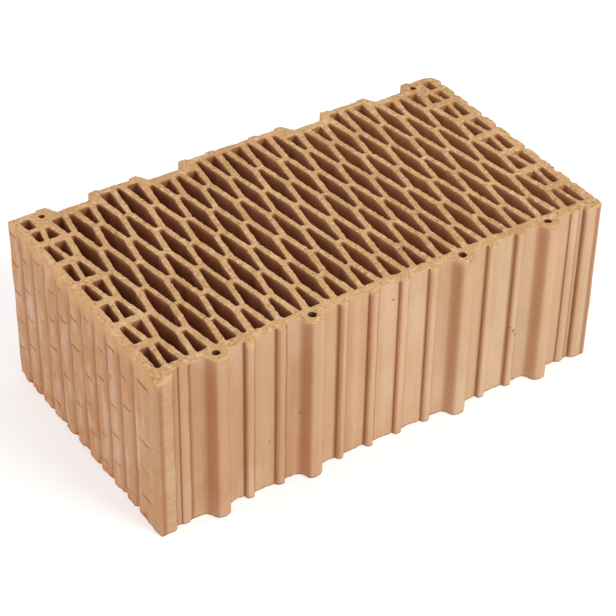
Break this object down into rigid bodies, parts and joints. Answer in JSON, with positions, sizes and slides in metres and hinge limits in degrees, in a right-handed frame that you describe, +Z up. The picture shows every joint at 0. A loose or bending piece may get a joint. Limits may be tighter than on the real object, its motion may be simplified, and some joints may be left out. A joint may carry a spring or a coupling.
{
  "type": "hollow clay block",
  "caption": "Extruded fired clay wall block with thin-walled rhombic through cells, tongues on one side, matching recesses on the other and grooved plaster ends.",
  "frame": {"origin": "middle of the bottom bed face's bounding rectangle", "axes": "+X along the length, which is the thickness of the wall; +Y from the tongue side to the recessed side; +Z up along the cells"},
  "size_m": [0.44, 0.2554, 0.165],
  "materials": {
    "fired_clay": "unglazed fired clay, rough wire-cut beds and streaked extruded sides"
  },
  "bodies": {
    "root": {"clay_block": "fired_clay"}
  },
  "joints": []
}
